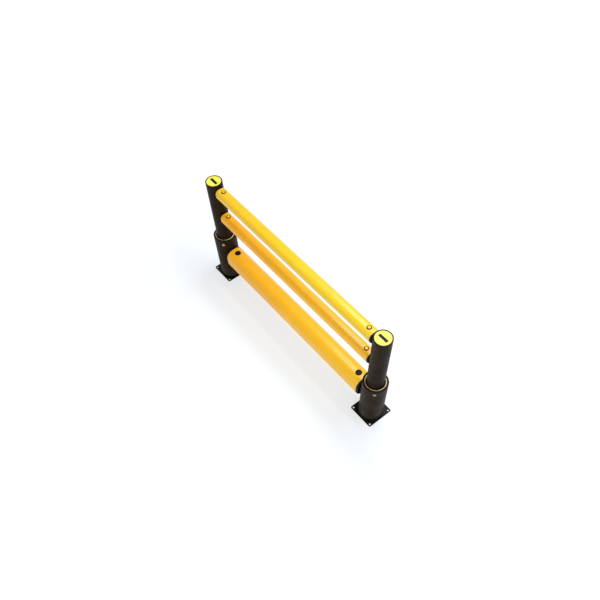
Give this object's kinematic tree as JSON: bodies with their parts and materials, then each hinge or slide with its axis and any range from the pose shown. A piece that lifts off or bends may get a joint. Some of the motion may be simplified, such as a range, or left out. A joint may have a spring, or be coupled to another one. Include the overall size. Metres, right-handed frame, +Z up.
{
  "type": "flexible traffic barrier bay",
  "caption": "Flexible polymer traffic barrier bay: a deep low traffic rail and slimmer guard rails pinned between sleeved posts on steel base plates.",
  "frame": {"origin": "on the floor, midway between the two posts", "axes": "+X along the rails from the left post to the right post, +Y across the barrier, +Z up"},
  "size_m": [2.56, 0.27, 1.17],
  "materials": {
    "rail_yellow": "satin moulded yellow polymer",
    "post_black": "satin black extruded polymer",
    "coupling_black": "fine-grained black moulded polymer",
    "liner_cream": "plain cream polymer",
    "cap_yellow": "lemon yellow moulded polymer",
    "pin_yellow": "yellow moulded polymer",
    "sleeve_pin_tan": "plain tan polymer",
    "base_steel": "black coated steel"
  },
  "bodies": {
    "root": {"base_plate_left": "base_steel", "base_plate_right": "base_steel", "post_socket_left": "base_steel", "post_socket_right": "base_steel", "sleeve_left": "post_black", "sleeve_right": "post_black", "sleeve_liner_left": "liner_cream", "sleeve_liner_right": "liner_cream", "post_left": "post_black", "post_right": "post_black", "post_cap_left": "cap_yellow", "post_cap_right": "cap_yellow", "sleeve_pin_left": "sleeve_pin_tan", "sleeve_pin_right": "sleeve_pin_tan", "traffic_rail": "rail_yellow", "middle_rail": "rail_yellow", "top_rail": "rail_yellow", "traffic_coupling_left": "coupling_black", "traffic_coupling_right": "coupling_black", "middle_coupling_left": "coupling_black", "middle_coupling_right": "coupling_black", "top_coupling_left": "coupling_black", "top_coupling_right": "coupling_black", "traffic_pin_left": "coupling_black", "traffic_pin_right": "coupling_black", "middle_pin_left": "pin_yellow", "middle_pin_right": "pin_yellow", "top_pin_left": "pin_yellow", "top_pin_right": "pin_yellow", "traffic_bushes_left": "coupling_black", "traffic_bushes_right": "coupling_black", "middle_bushes_left": "coupling_black", "middle_bushes_right": "coupling_black", "top_bushes_left": "coupling_black", "top_bushes_right": "coupling_black"}
  },
  "joints": []
}
